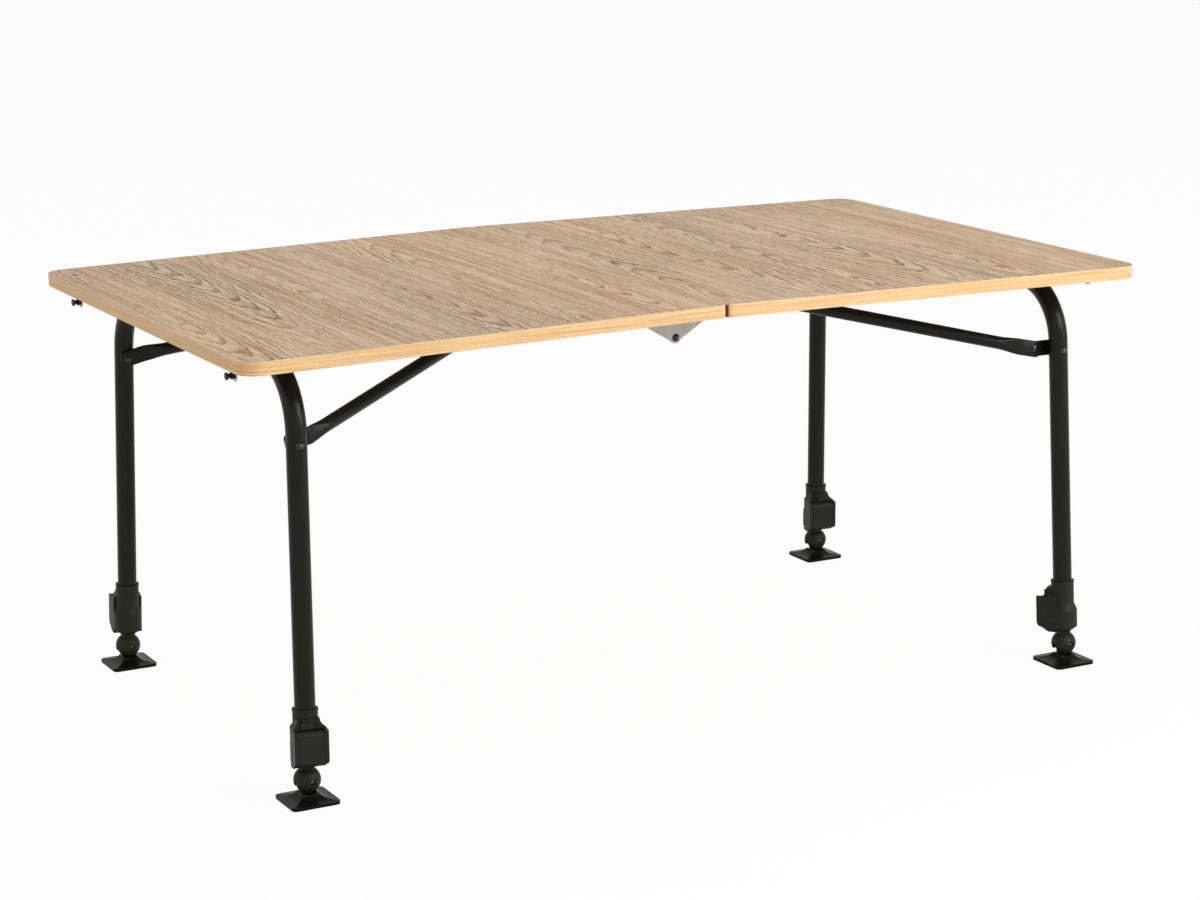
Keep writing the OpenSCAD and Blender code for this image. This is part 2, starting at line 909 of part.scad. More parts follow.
module lever_pin(side, row) {
    half = clamp_w / 2 + 0.6;
    color("#9a9c98")
        at_leg(side, row)
            rotate([0, 0, face_angle(side, row)])
                translate([lever_pin_x, half, lever_pin_s])
                    along_y()
                        cylinder(r = lever_pin_r, h = 2 * half, $fn = 24);
}

module inner_tube(side, row) {
    color("#2a2b28")
        at_leg(side, row)
            translate([0, 0, neck_s])
                linear_extrude(inner_len)
                    ring(inner_r, inner_wall);
}

// Ball with a plug in the inner tube, slotted for the pad's blade. The front cheek
// reaches further down than the rear one.
module knuckle(side, row) {
    plug = 20;
    color("#20211f")
        difference() {
            union() {
                difference() {
                    translate([0, 0, pivot_h])
                        at_foot(side, row)
                            sphere(ball_r, $fn = 64);
                    at_leg(side, row)
                        translate([0, 0, neck_s])
                            cylinder(r = 2 * ball_r, h = ball_r);
                }
                at_leg(side, row)
                    translate([0, 0, neck_s - 1])
                        cylinder(r = inner_r - inner_wall - fit_gap, h = plug);
            }
            at_foot(side, row)
                translate([0, 0, pivot_h]) {
                    translate([0, slot_w / 2, 0])
                        along_y()
                            linear_extrude(slot_w) {
                                circle(blade_r + side_gap);
                                translate([-2 * ball_r, -2 * ball_r])
                                    square([4 * ball_r, 2 * ball_r]);
                            }
                    translate([-2 * ball_r, -2 * ball_r, -cheek_drop_front - ball_r])
                        cube([4 * ball_r, 2 * ball_r + 1, ball_r]);
                    translate([-2 * ball_r, 0, -cheek_drop_rear - 2 * ball_r])
                        cube([4 * ball_r, 2 * ball_r, 2 * ball_r]);
                    translate([0, 2 * ball_r, 0])
                        along_y()
                            cylinder(r = rivet_r + pin_gap, h = 4 * ball_r);
                    for (turn = [-90, 90])
                        rotate([turn, 0, 0])
                            translate([0, 0, knuckle_seat])
                                cylinder(r = knuckle_seat_r, h = ball_r);
                }
        }
}

module foot_rivet(side, row) {
    face = knuckle_seat + fit_gap;
    color("#50524e")
        at_foot(side, row)
            translate([0, 0, pivot_h])
                rivet_y(-face, face, rivet_r, knuckle_seat_r - 1, 1.8);
}

// Square foot with ridges that rise to a pillar, and the blade on top of it
module pad(side, row) {
    half = pad_w / 2;
    steps = [[pad_rim, 0.93], [pad_rim + 1.2, 0.68], [pad_rim + 3.2, 0.48],
        [pad_rim + 6, 0.37], [pad_rim + 9, 0.32]];
    color("#1f201e")
        at_foot(side, row)
            difference() {
                union() {
                    difference() {
                        union() {
                            linear_extrude(pad_rim)
                                square_round(pad_w, pad_corner);
                            for (k = [0:len(steps) - 2])
                                translate([0, 0, steps[k][0] - 0.1])
                                    rotate([0, 0, 45])
                                        cylinder(r1 = half * steps[k][1] * sqrt(2),
                                            r2 = half * steps[k + 1][1] * sqrt(2),
                                            h = steps[k + 1][0] - steps[k][0] + 0.1, $fn = 4);
                            translate([-pillar_x, -pillar_y, pad_rim])
                                cube([2 * pillar_x, 2 * pillar_y, pivot_h - ball_r / 2 - pad_rim]);
                        }
                        translate([0, pad_w, pivot_h])
                            along_y()
                                cylinder(r = ball_r + fit_gap + side_gap, h = 2 * pad_w, $fn = 64);
                    }
                    translate([-pillar_x, -blade_t / 2, pad_rim + 2])
                        cube([2 * pillar_x, blade_t, pivot_h - pad_rim - 2 - blade_r / 2]);
                    translate([0, blade_t / 2, pivot_h])
                        along_y()
                            cylinder(r = blade_r, h = blade_t);
                }
                translate([0, 2 * ball_r, pivot_h])
                    along_y()
                        cylinder(r = rivet_r + pin_gap, h = 4 * ball_r);
            }
}

module square_round(w, r) {
    square([w - 2 * r, w], center = true);
    square([w, w - 2 * r], center = true);
    for (i = [-1, 1])
        for (j = [-1, 1])
            translate([i * (w / 2 - r), j * (w / 2 - r)])
                circle(r);
}

board(LEFT);  // board_left
board(RIGHT);  // board_right
edge_band(LEFT);  // edge_band_left
edge_band(RIGHT);  // edge_band_right
board_screws(LEFT);  // board_screws_left
board_screws(RIGHT);  // board_screws_right
hinge_plate(LEFT, FRONT);  // front_hinge_plate_left
hinge_plate(RIGHT, FRONT);  // front_hinge_plate_right
hinge_plate(LEFT, REAR);  // rear_hinge_plate_left
hinge_plate(RIGHT, REAR);  // rear_hinge_plate_right
hinge_rivets();
leg_frame(LEFT);  // leg_frame_left
leg_frame(RIGHT);  // leg_frame_right
saddle_clips(LEFT);  // saddle_clips_left
saddle_clips(RIGHT);  // saddle_clips_right
stay(LEFT, FRONT);  // front_stay_left
stay(LEFT, REAR);  // rear_stay_left
stay(RIGHT, FRONT);  // front_stay_right
stay(RIGHT, REAR);  // rear_stay_right
stay_rod(LEFT);  // stay_rod_left
stay_rod(RIGHT);  // stay_rod_right
rod_catch(LEFT);  // rod_catch_left
rod_catch(RIGHT);  // rod_catch_right
leg_rivets(LEFT);  // leg_rivets_left
leg_rivets(RIGHT);  // leg_rivets_right
link(FRONT);  // front_link_right
link(REAR);  // rear_link_right
link_rivets();  // link_rivets_right
closing_pegs();
peg_tabs();
closing_tabs();
housing(LEFT, FRONT);  // front_left_housing
housing(LEFT, REAR);  // rear_left_housing
housing(RIGHT, FRONT);  // front_right_housing
housing(RIGHT, REAR);  // rear_right_housing
lever(LEFT, FRONT);  // front_left_lever
lever(LEFT, REAR);  // rear_left_lever
lever(RIGHT, FRONT);  // front_right_lever
lever(RIGHT, REAR);  // rear_right_lever
lever_pin(LEFT, FRONT);  // front_left_lever_pin
lever_pin(LEFT, REAR);  // rear_left_lever_pin
lever_pin(RIGHT, FRONT);  // front_right_lever_pin
lever_pin(RIGHT, REAR);  // rear_right_lever_pin
inner_tube(LEFT, FRONT);  // front_left_inner_tube
inner_tube(LEFT, REAR);  // rear_left_inner_tube
inner_tube(RIGHT, FRONT);  // front_right_inner_tube
inner_tube(RIGHT, REAR);  // rear_right_inner_tube
knuckle(LEFT, FRONT);  // front_left_knuckle
knuckle(LEFT, REAR);  // rear_left_knuckle
knuckle(RIGHT, FRONT);  // front_right_knuckle
knuckle(RIGHT, REAR);  // rear_right_knuckle
foot_rivet(LEFT, FRONT);  // front_left_foot_rivet
foot_rivet(LEFT, REAR);  // rear_left_foot_rivet
foot_rivet(RIGHT, FRONT);  // front_right_foot_rivet
foot_rivet(RIGHT, REAR);  // rear_right_foot_rivet
pad(LEFT, FRONT);  // front_left_pad
pad(LEFT, REAR);  // rear_left_pad
pad(RIGHT, FRONT);  // front_right_pad
pad(RIGHT, REAR);  // rear_right_pad
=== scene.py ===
"""Looks of the folding camping table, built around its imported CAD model. Metres, Z up."""

import math

import bmesh
import bpy
from mathutils import Matrix, Vector


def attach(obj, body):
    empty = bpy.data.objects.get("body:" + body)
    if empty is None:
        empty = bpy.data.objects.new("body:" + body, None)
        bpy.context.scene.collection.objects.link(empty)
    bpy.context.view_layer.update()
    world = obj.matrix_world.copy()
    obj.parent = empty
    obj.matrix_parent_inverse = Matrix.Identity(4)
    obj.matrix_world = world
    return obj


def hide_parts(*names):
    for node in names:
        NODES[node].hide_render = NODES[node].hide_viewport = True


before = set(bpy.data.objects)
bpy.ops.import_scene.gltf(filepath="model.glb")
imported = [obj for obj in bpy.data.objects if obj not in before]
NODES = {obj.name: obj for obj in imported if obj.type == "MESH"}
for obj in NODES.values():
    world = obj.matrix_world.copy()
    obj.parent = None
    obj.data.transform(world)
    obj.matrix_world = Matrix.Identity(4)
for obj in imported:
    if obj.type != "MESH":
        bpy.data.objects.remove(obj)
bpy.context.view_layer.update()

# Values of the CAD source: height of the top at the split in metres, lean of each half in degrees
TOP_Z = 0.6125
CROWN = 0.7

# Laminate: width of one printed strip, and a start left of the table
STRIP_WIDTH = 0.118
STRIP_START = 2.03

# Floor, surroundings and the photo's camera
FLOOR_HALF_SIZE = 30.0
FLOOR_WHITE = 0.86
FLOOR_GLOW = 0.93
WORLD_LEVEL = 0.55
PHOTO_WIDTH = 1200.0
FOCAL_PIXELS = 2980.15
SHIFT_PIXELS = (-28.57, -2.32)
CAMERA_PLACE = (-2.01353, -3.82124, 1.34094)
CAMERA_TURN, CAMERA_PITCH, CAMERA_ROLL = 0.4976, 0.22924, -0.00903

# Area lamps: name, place, target, size, watts
LAMPS = (
    ("key", (1.4, -3.6, 2.4), (0.0, 0.0, 0.45), (2.4, 1.8), 88.0),
    ("strip", (2.6, -3.0, 1.3), (0.0, 0.0, 0.4), (0.5, 2.0), 30.0),
    ("fill", (-3.6, -0.6, 1.6), (0.0, 0.0, 0.4), (2.0, 2.0), 6.0),
    ("top", (0.2, 0.6, 3.4), (0.0, 0.0, 0.5), (3.0, 2.0), 30.0),
)


# Shader helpers
def srgb(r, g, b):
    """Linear colour from 8-bit display values."""
    out = []
    for c in (r, g, b):
        c /= 255.0
        out.append(c / 12.92 if c <= 0.04045 else ((c + 0.055) / 1.055) ** 2.4)
    return (*out, 1.0)


class Graph:
    """A material's node tree with short calls for the nodes used here."""

    def __init__(self, name):
        self.mat = bpy.data.materials.new(name)
        self.mat.use_nodes = True
        self.tree = self.mat.node_tree
        self.tree.nodes.clear()
        out = self.tree.nodes.new("ShaderNodeOutputMaterial")
        self.bsdf = self.tree.nodes.new("ShaderNodeBsdfPrincipled")
        self.tree.links.new(self.bsdf.outputs[0], out.inputs[0])
        coord = self.tree.nodes.new("ShaderNodeTexCoord")
        self.place = coord.outputs["Object"]
        self.mat.diffuse_color = (0.5, 0.5, 0.5, 1.0)

    def put(self, socket, value):
        if isinstance(value, bpy.types.NodeSocket):
            self.tree.links.new(value, socket)
        else:
            socket.default_value = value

    def math(self, op, a, b=0.0):
        n = self.tree.nodes.new("ShaderNodeMath")
        n.operation = op
        self.put(n.inputs[0], a)
        self.put(n.inputs[1], b)
        return n.outputs[0]

    def split(self, vector):
        n = self.tree.nodes.new("ShaderNodeSeparateXYZ")
        self.put(n.inputs[0], vector)
        return n.outputs[0], n.outputs[1], n.outputs[2]

    def join(self, x, y, z):
        n = self.tree.nodes.new("ShaderNodeCombineXYZ")
        for socket, value in zip(n.inputs, (x, y, z)):
            self.put(socket, value)
        return n.outputs[0]

    def stretch(self, vector, scale):
        n = self.tree.nodes.new("ShaderNodeVectorMath")
        n.operation = "MULTIPLY"
        self.put(n.inputs[0], vector)
        n.inputs[1].default_value = scale
        return n.outputs[0]

    def noise(self, vector, scale, detail=2.0, rough=0.5):
        n = self.tree.nodes.new("ShaderNodeTexNoise")
        self.put(n.inputs["Vector"], vector)
        n.inputs["Scale"].default_value = scale
        n.inputs["Detail"].default_value = detail
        n.inputs["Roughness"].default_value = rough
        return n.outputs[0]

    def random(self, value):
        n = self.tree.nodes.new("ShaderNodeTexWhiteNoise")
        n.noise_dimensions = "1D"
        self.put(n.inputs["W"], value)
        return n.outputs[0]

    def span(self, value, lo, hi, to_lo=0.0, to_hi=1.0, smooth=False):
        n = self.tree.nodes.new("ShaderNodeMapRange")
        n.interpolation_type = "SMOOTHSTEP" if smooth else "LINEAR"
        for socket, v in zip(n.inputs[:5], (value, lo, hi, to_lo, to_hi)):
            self.put(socket, v)
        return n.outputs[0]

    def mix(self, factor, a, b):
        n = self.tree.nodes.new("ShaderNodeMix")
        n.data_type = "RGBA"
        self.put(n.inputs[0], factor)
        self.put(n.inputs[6], a)
        self.put(n.inputs[7], b)
        return n.outputs[2]

    def bump(self, height, distance, strength=1.0, normal=None):
        n = self.tree.nodes.new("ShaderNodeBump")
        n.inputs["Strength"].default_value = strength
        n.inputs["Distance"].default_value = distance
        self.put(n.inputs["Height"], height)
        if normal is not None:
            self.put(n.inputs["Normal"], normal)
        return n.outputs[0]

    def bevel(self, radius):
        n = self.tree.nodes.new("ShaderNodeBevel")
        n.samples = 6
        n.inputs["Radius"].default_value = radius
        return n.outputs[0]

    def surface(self, color, rough, normal=None, metallic=0.0, **more):
        self.put(self.bsdf.inputs["Base Color"], color)
        self.put(self.bsdf.inputs["Roughness"], rough)
        self.bsdf.inputs["Metallic"].default_value = metallic
        if normal is not None:
            self.put(self.bsdf.inputs["Normal"], normal)
        for name, value in more.items():
            self.bsdf.inputs[name.replace("_", " ")].default_value = value
        return self.mat


# Materials
def laminate():
    """Brushed grey-brown oak foil. The grain runs along Y in strips, each with its own figure."""
    g = Graph("laminate_oak")
    x, y, _ = g.split(g.place)

    def by_strip(x_scale, y_scale, strip_scale):
        """Place in the grain, shifted from strip to strip."""
        return g.join(
            g.math("MULTIPLY", x, x_scale),
            g.math("MULTIPLY", y, y_scale),
            g.math("MULTIPLY", strip, strip_scale),
        )

    across = g.math("DIVIDE", g.math("ADD", x, STRIP_START), STRIP_WIDTH)
    strip = g.math("FLOOR", across)
    u = g.math("SUBTRACT", g.math("FRACT", across), 0.5)
    chance = g.random(strip)
    chance2 = g.random(g.math("ADD", strip, 0.37))
    # Slow wander of the grain, and its finer wobble
    wander = g.noise(by_strip(8.0, 1.7, 3.1), 1.0, 2.0)
    wobble = g.noise(by_strip(70.0, 15.0, 1.0), 1.0, 3.0, 0.6)
    # Rings of a log cut almost along its axis: arches in the middle, straight lines beside
    side = g.math("ADD", u, g.math("MULTIPLY", g.math("SUBTRACT", wander, 0.5), 0.6))
    heart = g.math("SUBTRACT", g.math("MULTIPLY", chance, 1.6), 0.8)
    along = g.math("MULTIPLY", g.math("ADD", y, heart), 0.62)
    side2 = g.math("MULTIPLY", side, side)
    along2 = g.math("MULTIPLY", along, along)
    radius = g.math("SQRT", g.math("ADD", side2, along2))
    shake = g.math("ADD", g.math("MULTIPLY", wobble, 1.3), g.math("MULTIPLY", chance2, 7.0))
    wave = g.math("FRACT", g.math("ADD", g.math("MULTIPLY", radius, 21.0), shake))
    rise = g.span(wave, 0.5, 0.93, smooth=True)
    late = g.math("MULTIPLY", rise, g.span(wave, 1.0, 0.94, smooth=True))
    # Pores and streaks along the grain, from fine to broad
    pore = g.noise(g.stretch(g.place, (1500.0, 62.0, 1.0)), 1.0, 2.0, 0.65)
    coarse = g.noise(g.stretch(g.place, (430.0, 13.0, 1.0)), 1.0, 4.0, 0.65)
    streak = g.noise(g.stretch(g.place, (150.0, 2.6, 1.0)), 1.0, 5.0, 0.68)
    broad = g.noise(g.stretch(g.place, (34.0, 1.1, 1.0)), 1.0, 3.0, 0.6)
    stitch = g.noise(g.stretch(g.place, (900.0, 58.0, 1.0)), 1.0, 2.0, 0.6)
    speck = g.noise(g.stretch(g.place, (1900.0, 420.0, 1.0)), 1.0, 1.0)
    # Where the arches show, and the dark and light marks that break them up
    figure = g.span(g.noise(by_strip(9.0, 1.9, 1.7), 1.0, 1.0), 0.45, 0.56, 0.15, 1.0)
    broken = g.math("MULTIPLY", late, g.span(stitch, 0.36, 0.54))
    line = g.math("MULTIPLY", broken, figure)
    dash = g.span(g.math("ADD", pore, g.math("MULTIPLY", late, 0.10)), 0.54, 0.70)
    fleck = g.math("MULTIPLY", g.span(coarse, 0.50, 0.64), g.span(stitch, 0.46, 0.60))
    bright = g.span(g.noise(g.stretch(g.place, (700.0, 40.0, 1.0)), 1.0, 2.0, 0.6), 0.58, 0.72)
    # Colours, from the ground up
    tone = g.span(g.noise(g.stretch(g.place, (7.0, 1.3, 1.0)), 1.0, 2.0), 0.42, 0.58)
    brown = g.mix(tone, srgb(150, 92, 42), srgb(84, 68, 50))
    pore_brown = g.mix(tone, srgb(138, 92, 48), srgb(98, 80, 58))
    ground = g.mix(g.span(streak, 0.38, 0.62), srgb(160, 131, 98), srgb(217, 191, 158))
    ground = g.mix(g.span(broad, 0.36, 0.64, 0.0, 0.35), ground, srgb(190, 163, 130))
    ground = g.mix(g.span(chance2, 0.0, 1.0, 0.0, 0.2), ground, srgb(178, 154, 125))
    ground = g.mix(g.math("MULTIPLY", bright, 0.5), ground, srgb(238, 220, 190))
    ground = g.mix(g.span(speck, 0.55, 0.75, 0.0, 0.35), ground, srgb(236, 220, 192))
    ground = g.mix(g.math("MULTIPLY", fleck, 0.75), ground, brown)
    ground = g.mix(line, ground, brown)
    ground = g.mix(g.math("MULTIPLY", dash, 0.6), ground, pore_brown)
    seam = g.span(g.math("ABSOLUTE", u), 0.4955, 0.4995, 0.0, 0.25)
    ground = g.mix(seam, ground, srgb(134, 108, 80))
    marks = g.math("ADD", line, g.math("MULTIPLY", fleck, 0.5))
    depth = g.math("ADD", g.math("MULTIPLY", dash, 0.6), marks)
    normal = g.bump(g.math("MULTIPLY", depth, -1.0), 0.00022, 0.7)
    rough = g.math("ADD", g.math("MULTIPLY", depth, 0.1), 0.52)
    return g.surface(ground, rough, normal, Specular_IOR_Level=0.12)


def edge_oak():
    """Oak edge band, with its grain running round the edge. Painted shade makes it darker where
    the split opens, and a painted highlight lightens its top edge.
    """
    g = Graph("edge_oak")
    x, y, z = g.split(g.place)
    grain = g.noise(g.stretch(g.place, (7.0, 7.0, 560.0)), 1.0, 4.0, 0.62)
    fine = g.noise(g.stretch(g.place, (110.0, 110.0, 2600.0)), 1.0, 3.0, 0.65)
    slow = g.noise(g.stretch(g.place, (2.2, 2.2, 90.0)), 1.0, 2.0)
    fleck = g.noise(g.stretch(g.place, (260.0, 260.0, 1500.0)), 1.0, 2.0, 0.6)
    color = g.mix(g.span(grain, 0.34, 0.66), srgb(206, 160, 106), srgb(243, 206, 156))
    color = g.mix(g.span(slow, 0.35, 0.65, 0.0, 0.4), color, srgb(222, 180, 126))
    color = g.mix(g.span(fine, 0.53, 0.68, 0.0, 0.65), color, srgb(164, 114, 62))
    color = g.mix(g.span(fleck, 0.60, 0.72, 0.0, 0.5), color, srgb(244, 222, 186))
    # Painted highlight along the cut top edge, where it catches more light
    fall = g.math("MULTIPLY", g.math("ABSOLUTE", x), math.tan(math.radians(CROWN)))
    below = g.math("SUBTRACT", TOP_Z, g.math("ADD", z, fall))
    color = g.mix(g.span(below, 0.0016, 0.0006, 0.0, 0.45), color, srgb(246, 224, 190))
    # Painted shade: warm brown where the two halves face each other, at the front and rear only,
    # standing in for the shade and bounced light inside the split
    near_split = g.span(g.math("ABSOLUTE", x), 0.0036, 0.0018)
    split_shade = g.math("MULTIPLY", near_split, g.span(below, 0.0008, 0.0022))
    split_shade = g.math("MULTIPLY", split_shade, g.span(g.math("ABSOLUTE", y), 0.388, 0.394))
    color = g.mix(split_shade, color, srgb(128, 68, 12))
    # The foil of the top reaches over the band
    color = g.mix(g.span(below, 0.0003, 0.0001), color, srgb(188, 163, 132))
    relief = g.math("ADD", grain, g.math("MULTIPLY", fine, 0.5))
    normal = g.bump(relief, 0.00014, 0.5, g.bevel(0.0008))
    return g.surface(color, g.span(fine, 0.4, 0.7, 0.42, 0.55), normal, Specular_IOR_Level=0.18)


def powder_coat(name, dark, light, grain=1300.0, rough=0.38, gloss=0.15):
    """Near-black satin coating with a fine orange-peel bump and faint scuffs."""
    g = Graph(name)
    peel = g.noise(g.place, grain, 2.0, 0.55)
    patch = g.noise(g.place, 26.0, 3.0, 0.6)
    scuff = g.span(g.noise(g.stretch(g.place, (60.0, 60.0, 14.0)), 1.0, 5.0, 0.7), 0.62, 0.8)
    color = g.mix(g.span(patch, 0.3, 0.7), dark, light)
    color = g.mix(g.math("MULTIPLY", scuff, 0.07), color, srgb(92, 92, 84))
    shine = g.span(patch, 0.3, 0.7, rough - 0.04, rough + 0.05)
    shine = g.math("ADD", shine, g.math("MULTIPLY", scuff, 0.08))
    normal = g.bump(peel, 0.00006, 0.35)
    return g.surface(color, shine, normal, Specular_IOR_Level=gloss)


def moulded(name, dark, light, rough=0.5, gloss=0.16, edge=0.0013):
    """Moulded plastic with a fine spark-eroded grain and softened edges."""
    g = Graph(name)
    cell = g.noise(g.place, 2400.0, 3.0, 0.6)
    patch = g.noise(g.place, 34.0, 3.0, 0.6)
    wear = g.span(g.noise(g.place, 120.0, 4.0, 0.7), 0.6, 0.78)
    color = g.mix(g.span(patch, 0.3, 0.7), dark, light)
    color = g.mix(g.math("MULTIPLY", wear, 0.12), color, srgb(88, 88, 82))
    normal = g.bump(cell, 0.00008, 0.8 * rough, g.bevel(edge))
    shine = g.span(cell, 0.3, 0.7, rough - 0.06, rough + 0.07)
    return g.surface(color, shine, normal, Specular_IOR_Level=gloss)


def sheet_grey():
    """Light grey coated sheet steel."""
    g = Graph("sheet_grey")
    peel = g.noise(g.place, 1500.0, 2.0, 0.5)
    patch = g.noise(g.place, 30.0, 3.0, 0.6)
    wear = g.span(g.noise(g.place, 90.0, 5.0, 0.7), 0.62, 0.8)
    color = g.mix(g.span(patch, 0.3, 0.7), srgb(176, 174, 166), srgb(192, 190, 182))
    color = g.mix(g.math("MULTIPLY", wear, 0.2), color, srgb(150, 148, 140))
    normal = g.bump(peel, 0.00005, 0.3, g.bevel(0.0006))
    return g.surface(color, g.span(patch, 0.3, 0.7, 0.40, 0.50), normal)


def bare_steel(name, rough=0.34, tone=(186, 186, 182)):
    """Zinc-plated or blued steel with faint rolling lines."""
    g = Graph(name)
    rolled = g.noise(g.stretch(g.place, (40.0, 900.0, 900.0)), 1.0, 3.0, 0.6)
    patch = g.noise(g.place, 60.0, 3.0, 0.6)
    lo = tuple(int(v * 0.9) for v in tone)
    color = g.mix(g.span(patch, 0.3, 0.7), srgb(*lo), srgb(*tone))
    shine = g.span(rolled, 0.3, 0.7, rough - 0.07, rough + 0.08)
    return g.surface(color, shine, g.bump(rolled, 0.00004, 0.3), metallic=1.0)


TOP = laminate()
BAND = edge_oak()
TUBE = powder_coat("tube_coat", srgb(19, 20, 13), srgb(23, 24, 17), rough=0.27)
PLASTIC = moulded("moulded_black", srgb(27, 28, 22), srgb(33, 34, 28))
PAD = moulded("moulded_pad", srgb(14, 15, 9), srgb(19, 20, 14), 0.26, 0.05, 0.0018)
CLIP = moulded("clip_black", srgb(22, 23, 21), srgb(28, 29, 26), 0.42)
SHEET = sheet_grey()
ZINC = bare_steel("zinc_bright")
DARK_RIVET = powder_coat("rivet_dark", srgb(16, 16, 14), srgb(22, 22, 20), 900.0, 0.16, 0.5)
FOOT_RIVET = bare_steel("rivet_steel", 0.22, (60, 60, 56))


def material_of(node):
    """The finish of a CAD node, by its name."""
    if node.startswith(("board_screws", "stay_rod", "peg_tabs", "closing_tabs")):
        return ZINC
    if node.startswith("board"):
        return TOP
    if node.startswith("edge_band"):
        return BAND
    if "hinge_plate" in node:
        return SHEET
    if node.endswith(("foot_rivet", "lever_pin")):
        return FOOT_RIVET
    if "rivet" in node:
        return DARK_RIVET
    if node.startswith(("rod_catch", "saddle", "closing_pegs")):
        return CLIP
    if node.endswith("pad"):
        return PAD
    if node.endswith(("housing", "lever", "knuckle")):
        return PLASTIC
    return TUBE


for node_name, ob in NODES.items():
    for material_slot in ob.material_slots:
        material_slot.material = material_of(node_name)


# Stays with pressed ends
# Values of the CAD source, in millimetres and degrees
TOP_LENGTH, TOP_WIDTH, BOARD_T = 1400.0, 800.0, 18.0
TUBE_D, BAR_INSET, BAR_SEAT = 28.0, 96.6, 0.5
LEG_LEAN, LEG_SPREAD, FOOT_Y, PIVOT_H = 1.15, 2.4, 351.0, 30.0
STAY_D, FLAT_T, FLAT_R, STAY_DROP, STAY_LEN = 19.0, 3.4, 12.0, 95.6, 451.0
ROD_DROP, ROD_R, ROD_END_Y, LINK_LEN, RIVET_R = 14.3, 5.0, 97.0, 29.3, 3.0
SIDE_GAP, PIN_GAP, LINK_HEAD, FLAT_TIP, TIP_R = 0.3, 0.05, 1.2, 9.5, 6.0

# Values of the scene alone: where the stay's bends lie past its flat ends, the length of the
# change from flat to round, the points of a ring and the stations between the ends
OUTER_BEND, INNER_BEND, TAPER = 14.0, 10.0, 40.0
RING = 36
STATIONS = [1.5, 4, 7, 10, 13, 16, 19, 22, 25, 28, 31, 34, 37, TAPER, 60, 90]
TIP_STATIONS = 8


def sind(a):
    return math.sin(math.radians(a))


def cosd(a):
    return math.cos(math.radians(a))


def stay_places():
    """Rivet place, inclination and lateral places of the stays, in their half's own frame."""
    bar_x = TOP_LENGTH / 2 - BAR_INSET
    bar_z = -BOARD_T - TUBE_D / 2 - BAR_SEAT
    bar_height = TOP_Z * 1000 - bar_x * sind(CROWN) + bar_z * cosd(CROWN)
    tilt = LEG_LEAN + CROWN
    leg_drop = (bar_height - PIVOT_H) / cosd(LEG_LEAN)
    rivet_x = bar_x + STAY_DROP * sind(tilt)
    rivet_z = bar_z - STAY_DROP * cosd(tilt)
    rivet_y = FOOT_Y - (leg_drop - STAY_DROP) * math.tan(math.radians(LEG_SPREAD))
    lean_y = FLAT_R * math.tan(math.radians(LEG_SPREAD))
    face_y = rivet_y - TUBE_D / 2 / cosd(LEG_SPREAD) - lean_y
    left_y = face_y - SIDE_GAP - FLAT_T / 2
    right_y = face_y - 2 * SIDE_GAP - LINK_HEAD - FLAT_T / 2
    rise = math.degrees(math.asin((-BOARD_T - ROD_DROP - rivet_z) / STAY_LEN))
    return rivet_x, rivet_z, left_y, right_y, rise


def stadium(half_h, half_w):
    """Closed section of a flattened tube: straight sides and round ends."""
    points = []
    straight = max(half_h - half_w, 0.0)
    for k in range(RING):
        a = 2 * math.pi * k / RING
        h = half_w * math.cos(a) + math.copysign(straight, math.cos(a) + 1e-9)
        points.append((half_w * math.sin(a), h))
    return points


def ease(t):
    """Smooth step from 0 to 1."""
    t = min(max(t, 0.0), 1.0)
    return t * t * (3 - 2 * t)


def tip_rows(x_mid, y, sign):
    """Stations of a flat end with rounded corners, from the outside in where sign is 1."""
    rows = []
    for k in range(TIP_STATIONS + 1):
        a = math.radians(6 + 84 * k / TIP_STATIONS)
        reach = FLAT_TIP - TIP_R * (1 - math.cos(a))
        half_h = FLAT_R - TIP_R * (1 - math.sin(a))
        half_w = min(FLAT_T / 2, 0.35 + half_h * 0.45)
        rows.append((x_mid - sign * reach, y, 0.0, half_h, half_w))
    return rows if sign > 0 else rows[::-1]


def stay_stations(y0, y1):
    """Centre, side direction, half height and half thickness all along one stay."""
    bend0 = FLAT_R + OUTER_BEND
    bend1 = STAY_LEN - FLAT_R - INNER_BEND
    swing = math.atan2(y1 - y0, bend1 - bend0)
    full = math.hypot(bend1 - bend0, y1 - y0)
    rows = tip_rows(0.0, y0, 1)
    rows.append((bend0 - 7, y0, 0.0, FLAT_R, FLAT_T / 2))
    rows.append((bend0 - 3, y0, swing * 0.15, FLAT_R, FLAT_T / 2))
    for along in STATIONS + [full * 0.5] + [full - v for v in reversed(STATIONS)]:
        inner = min(along, full - along)
        half_w = FLAT_T / 2 + (STAY_D / 2 - FLAT_T / 2) * ease(inner / TAPER)
        half_h = FLAT_R + (STAY_D / 2 - FLAT_R) * ease(inner / (TAPER * 0.85))
        turn = swing * min(1.0, 0.55 + inner * 0.15)
        x = bend0 + along * math.cos(swing)
        rows.append((x, y0 + along * math.sin(swing), turn, half_h, half_w))
    rows.append((bend1 + 3, y1, swing * 0.15, FLAT_R, FLAT_T / 2))
    return rows + tip_rows(STAY_LEN, y1, -1)


def stay_mesh(name, y0, y1):
    """Closed skin over the stations of one stay, in millimetres."""
    verts, faces = [], []
    for x, y, turn, half_h, half_w in stay_stations(y0, y1):
        for w, h in stadium(half_h, half_w):
            verts.append((x - w * math.sin(turn), y + w * math.cos(turn), h))
    last = len(verts) - RING
    for start in range(0, last, RING):
        for k in range(RING):
            a, b = start + k, start + (k + 1) % RING
            faces.append((a, b, b + RING, a + RING))
    faces.append(tuple(range(RING))[::-1])
    faces.append(tuple(range(last, last + RING)))
    mesh = bpy.data.meshes.new(name)
    mesh.from_pydata(verts, [], faces)
    edit = bmesh.new()
    edit.from_mesh(mesh)
    bmesh.ops.recalc_face_normals(edit, faces=edit.faces)
    edit.to_mesh(mesh)
    edit.free()
    return mesh


